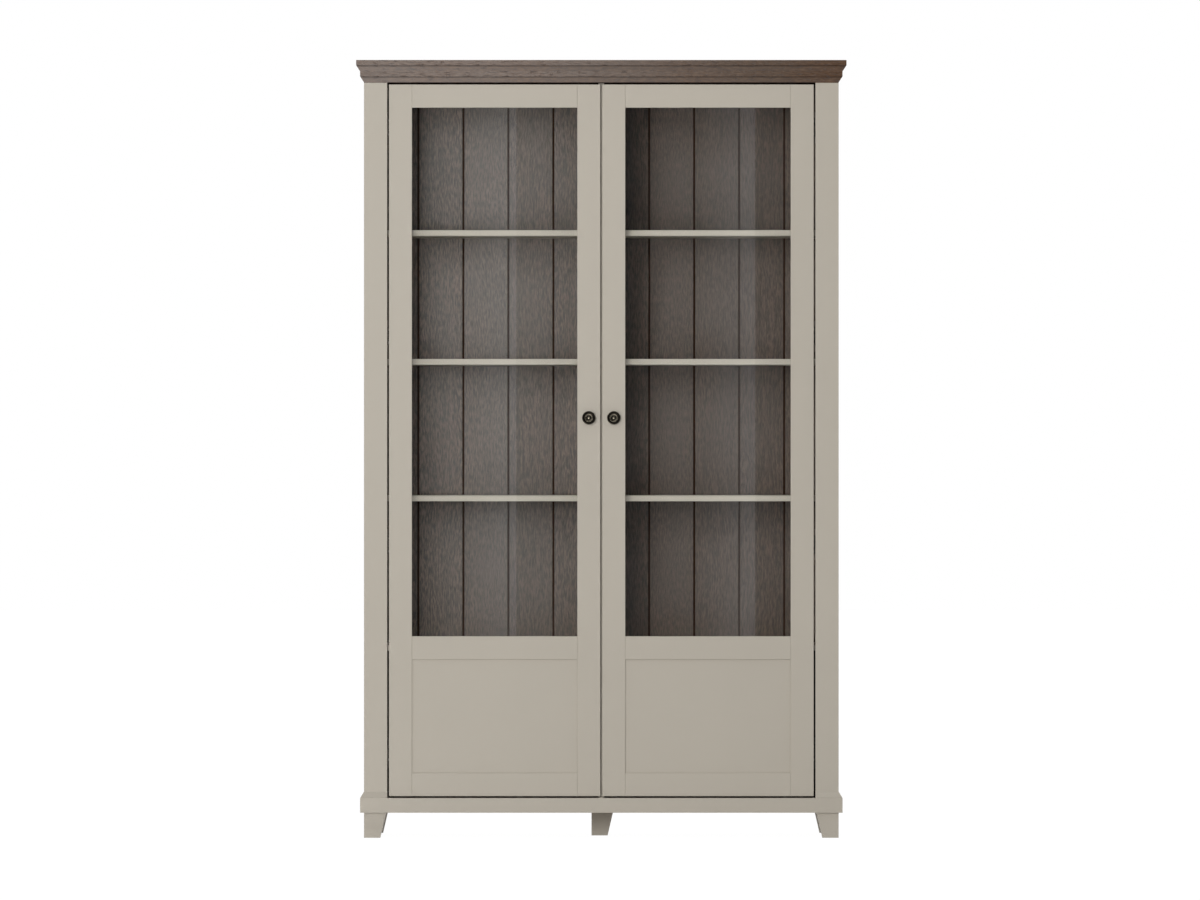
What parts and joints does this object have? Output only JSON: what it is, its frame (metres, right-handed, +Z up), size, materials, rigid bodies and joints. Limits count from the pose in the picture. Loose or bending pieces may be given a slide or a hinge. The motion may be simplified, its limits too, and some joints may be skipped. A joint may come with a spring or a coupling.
{
  "type": "glazed bookcase",
  "caption": "Tall free-standing bookcase with inset glazed doors over solid panels, loose shelves, moulded oak-look cornice, plinth and tapered feet.",
  "frame": {"origin": "on the floor under the middle of the whole bookcase (bottom centre of its bounding box)", "axes": "+Z up, -Y out of the doors towards the user, +X to the right of a person facing the doors"},
  "size_m": [1.267, 0.434, 2.01],
  "materials": {
    "painted_board": "satin lacquered board in a warm greige",
    "oak_cornice": "brown oak, fine horizontal grain, satin",
    "oak_back": "grey-brown oak planks with V grooves, fine vertical grain",
    "raw_board": "raw softwood and board, hidden",
    "glass": "clear float glass",
    "bronze": "dark antique bronze, rubbed on the edges",
    "steel": "nickel-plated steel"
  },
  "bodies": {
    "carcass": {"carcass_screws": "steel", "centre_partition": "painted_board", "corner_feet": "painted_board", "cornice_back_rail": "raw_board", "cornice_front": "oak_cornice", "cornice_top_board": "oak_cornice", "floor_bearers": "raw_board", "floor_panel": "painted_board", "hinge_blocks": "painted_board", "left_back_panel": "oak_back", "left_cornice_side": "oak_cornice", "left_fixed_shelf": "painted_board", "left_front_stile": "painted_board", "left_hinge_arms": "steel", "left_plinth_side": "painted_board", "left_shelf_1": "painted_board", "left_shelf_2": "painted_board", "left_shelf_3": "painted_board", "left_side_panel": "painted_board", "middle_foot": "painted_board", "plinth_back_rail": "raw_board", "plinth_front": "painted_board", "right_back_panel": "oak_back", "right_cornice_side": "oak_cornice", "right_fixed_shelf": "painted_board", "right_front_stile": "painted_board", "right_hinge_arms": "steel", "right_plinth_side": "painted_board", "right_shelf_1": "painted_board", "right_shelf_2": "painted_board", "right_shelf_3": "painted_board", "right_side_panel": "painted_board", "shelf_pins": "steel", "top_panel": "oak_cornice"},
    "left_door": {"left_door_hinge_stile": "painted_board", "left_door_lock_stile": "painted_board", "left_door_top_rail": "painted_board", "left_door_middle_rail": "painted_board", "left_door_bottom_rail": "painted_board", "left_door_lower_panel": "painted_board", "left_door_glass": "glass", "left_door_glass_beads": "painted_board", "left_door_knob": "bronze", "left_door_screws": "steel", "left_hinge_cups": "steel"},
    "right_door": {"right_door_hinge_stile": "painted_board", "right_door_lock_stile": "painted_board", "right_door_top_rail": "painted_board", "right_door_middle_rail": "painted_board", "right_door_bottom_rail": "painted_board", "right_door_lower_panel": "painted_board", "right_door_glass": "glass", "right_door_glass_beads": "painted_board", "right_door_knob": "bronze", "right_door_screws": "steel", "right_hinge_cups": "steel"},
    "left_inner_links": {"left_hinge_inner_links": "steel"},
    "left_outer_links": {"left_hinge_outer_links": "steel"},
    "right_inner_links": {"right_hinge_inner_links": "steel"},
    "right_outer_links": {"right_hinge_outer_links": "steel"}
  },
  "joints": [
    {"name": "left_door_swing", "type": "hinge", "parent": "carcass", "child": "left_door", "pos_m": [-0.55125, -0.193, 1.0275], "axis": [0, 0, -1], "range_deg": [0, 95]},
    {"name": "left_inner_link_turn", "type": "hinge", "parent": "carcass", "child": "left_inner_links", "pos_m": [-0.53425, -0.165, 1.0275], "axis": [0, 0, -1], "range_deg": [0, 95]},
    {"name": "left_outer_link_turn", "type": "hinge", "parent": "left_door", "child": "left_outer_links", "pos_m": [-0.52525, -0.176, 1.0275], "axis": [0, 0, 1], "range_deg": [0, 95]},
    {"name": "right_door_swing", "type": "hinge", "parent": "carcass", "child": "right_door", "pos_m": [0.55125, -0.193, 1.0275], "axis": [0, 0, 1], "range_deg": [0, 95]},
    {"name": "right_inner_link_turn", "type": "hinge", "parent": "carcass", "child": "right_inner_links", "pos_m": [0.53425, -0.165, 1.0275], "axis": [0, 0, 1], "range_deg": [0, 95]},
    {"name": "right_outer_link_turn", "type": "hinge", "parent": "right_door", "child": "right_outer_links", "pos_m": [0.52525, -0.176, 1.0275], "axis": [0, 0, -1], "range_deg": [0, 95]}
  ],
  "couplings": [
    {"joint": "left_inner_link_turn", "follows": "left_door_swing", "ratio": 1},
    {"joint": "left_outer_link_turn", "follows": "left_door_swing", "ratio": 1},
    {"joint": "right_inner_link_turn", "follows": "right_door_swing", "ratio": 1},
    {"joint": "right_outer_link_turn", "follows": "right_door_swing", "ratio": 1}
  ]
}
